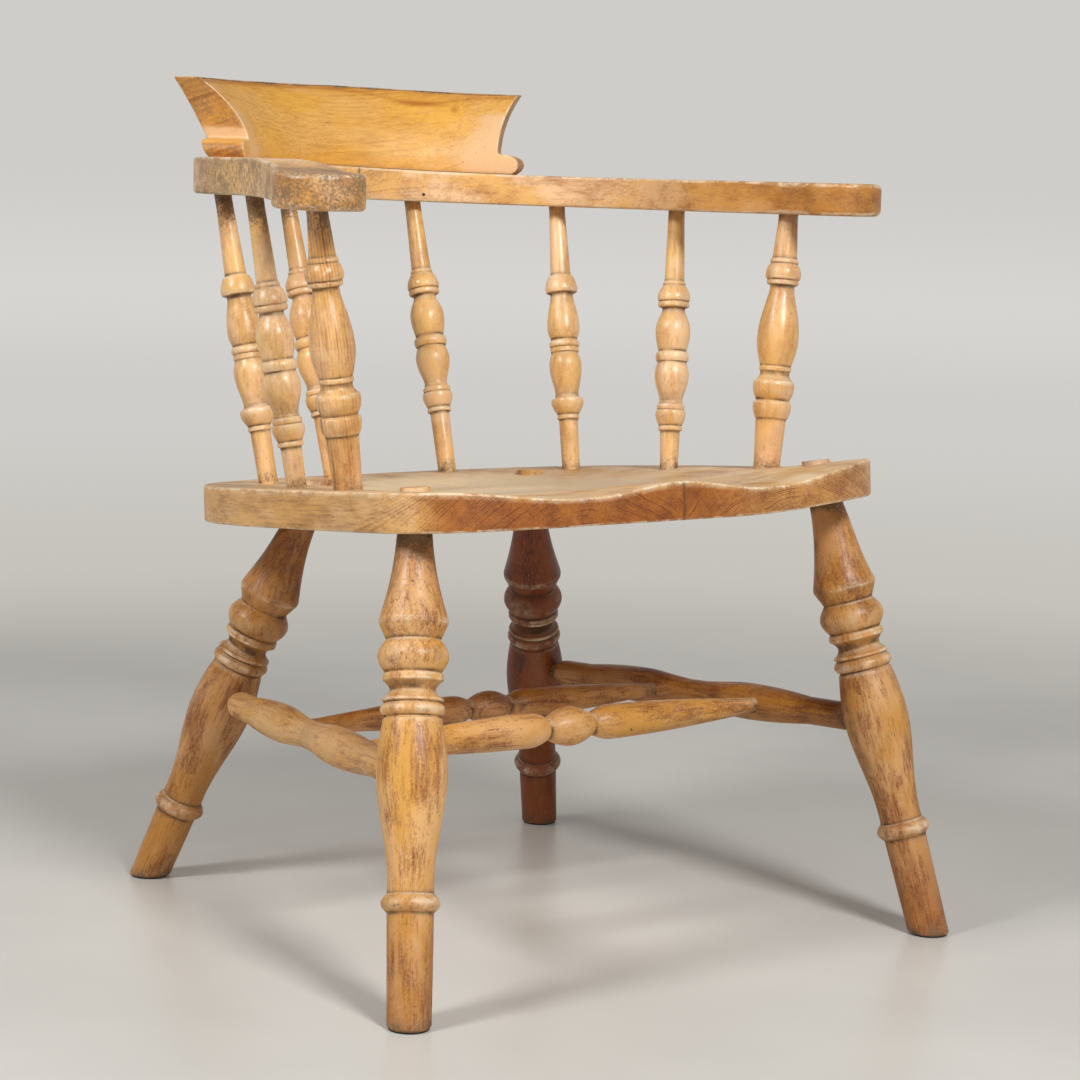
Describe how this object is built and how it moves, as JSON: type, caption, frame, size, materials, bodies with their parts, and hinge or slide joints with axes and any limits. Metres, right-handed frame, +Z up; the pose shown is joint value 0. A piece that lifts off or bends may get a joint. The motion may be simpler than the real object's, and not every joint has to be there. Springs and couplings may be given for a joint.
{
  "type": "captains chair",
  "caption": "Low-backed wooden armchair: saddled seat on raked turned legs with cross stretchers, sawn arm bow on turned posts and spindles, flared crest rail.",
  "frame": {"origin": "on the floor, under the middle of the chair's bounding box", "axes": "+Z up, -Y the way the sitter faces, +X towards the sitter's left hand"},
  "size_m": [0.662, 0.6846, 0.7903],
  "materials": {
    "seat": "worn, washed-out varnish, satin",
    "legs": "worn clear varnish, satin",
    "stretchers": "worn clear varnish, satin",
    "spindles": "clear varnish, satin",
    "arms": "golden clear varnish, satin",
    "crest": "golden clear varnish, satin",
    "dowels": "bare wood"
  },
  "bodies": {
    "root": {"seat_board_left": "seat", "seat_board_right": "seat", "leg_front_left": "legs", "leg_front_right": "legs", "leg_rear_left": "legs", "leg_rear_right": "legs", "side_stretcher_left": "stretchers", "side_stretcher_right": "stretchers", "cross_stretcher_front": "stretchers", "cross_stretcher_rear": "stretchers", "arm_post_left": "spindles", "arm_post_right": "spindles", "spindle_front_left": "spindles", "spindle_front_right": "spindles", "spindle_middle_left": "spindles", "spindle_middle_right": "spindles", "spindle_back_left": "spindles", "spindle_back_right": "spindles", "arm_left": "arms", "arm_right": "arms", "crest_rail": "crest", "crest_dowel_inner_left": "dowels", "crest_dowel_inner_right": "dowels", "crest_dowel_outer_left": "dowels", "crest_dowel_outer_right": "dowels"}
  },
  "joints": []
}
